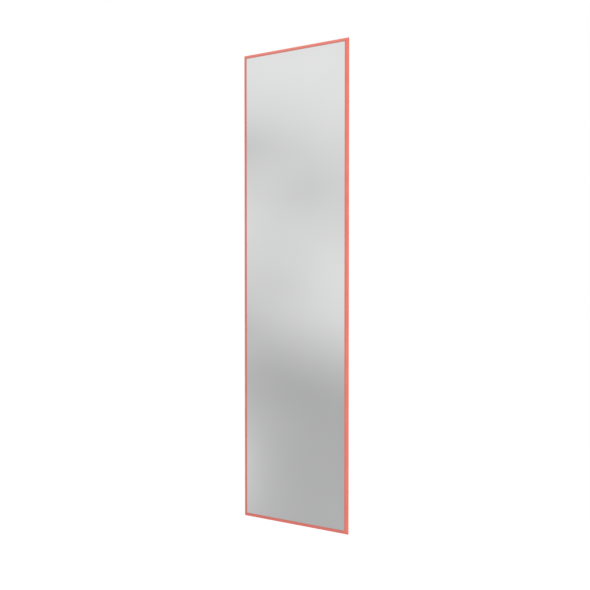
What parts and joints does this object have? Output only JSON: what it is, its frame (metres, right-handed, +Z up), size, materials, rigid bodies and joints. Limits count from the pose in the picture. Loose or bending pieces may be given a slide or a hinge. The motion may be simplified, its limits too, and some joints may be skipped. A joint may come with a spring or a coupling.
{
  "type": "full length mirror",
  "caption": "Tall wall mirror: silvered glass in a slim mitred metal frame with a bevelled coral face, hung from hinged D-rings on its back.",
  "frame": {"origin": "on the wall, midway between the two hanging rings, at the height of their pins", "axes": "+X to the viewer's right, +Z up, +Y into the wall; the mirror looks towards -Y"},
  "size_m": [0.4, 0.0125, 1.6],
  "materials": {
    "frame_paint": "coral powder coat, satin",
    "silvered_glass": "clear float glass, silvered on its back",
    "film": "grey safety film",
    "board": "brown hardboard, fine felted surface",
    "packer_rubber": "black, matt",
    "key_metal": "die cast",
    "screw_steel": "zinc plated",
    "strap_steel": "zinc plated, pressed",
    "ring_steel": "nickel plated wire",
    "bumper_rubber": "translucent grey, soft"
  },
  "bodies": {
    "mirror": {"bottom_rail": "frame_paint", "top_rail": "frame_paint", "left_stile": "frame_paint", "right_stile": "frame_paint", "mirror_glass": "silvered_glass", "safety_film": "film", "backing_board": "board", "packers_bottom": "packer_rubber", "packers_top": "packer_rubber", "packers_left": "packer_rubber", "packers_right": "packer_rubber", "corner_key_bottom_left": "key_metal", "key_screws_bottom_left": "screw_steel", "wall_bumper_bottom_left": "bumper_rubber", "corner_key_top_left": "key_metal", "key_screws_top_left": "screw_steel", "wall_bumper_top_left": "bumper_rubber", "corner_key_top_right": "key_metal", "key_screws_top_right": "screw_steel", "wall_bumper_top_right": "bumper_rubber", "corner_key_bottom_right": "key_metal", "key_screws_bottom_right": "screw_steel", "wall_bumper_bottom_right": "bumper_rubber", "hanger_strap_left": "strap_steel", "strap_screw_left": "screw_steel", "hanger_strap_right": "strap_steel", "strap_screw_right": "screw_steel"},
    "left_ring": {"hanging_ring_left": "ring_steel"},
    "right_ring": {"hanging_ring_right": "ring_steel"}
  },
  "joints": [
    {"name": "left_ring_hinge", "type": "hinge", "parent": "mirror", "child": "left_ring", "pos_m": [-0.1945, -0.0025, 0], "axis": [1, 0, 0], "range_deg": [0, 180]},
    {"name": "right_ring_hinge", "type": "hinge", "parent": "mirror", "child": "right_ring", "pos_m": [0.1945, -0.0025, 0], "axis": [1, 0, 0], "range_deg": [0, 180]}
  ]
}
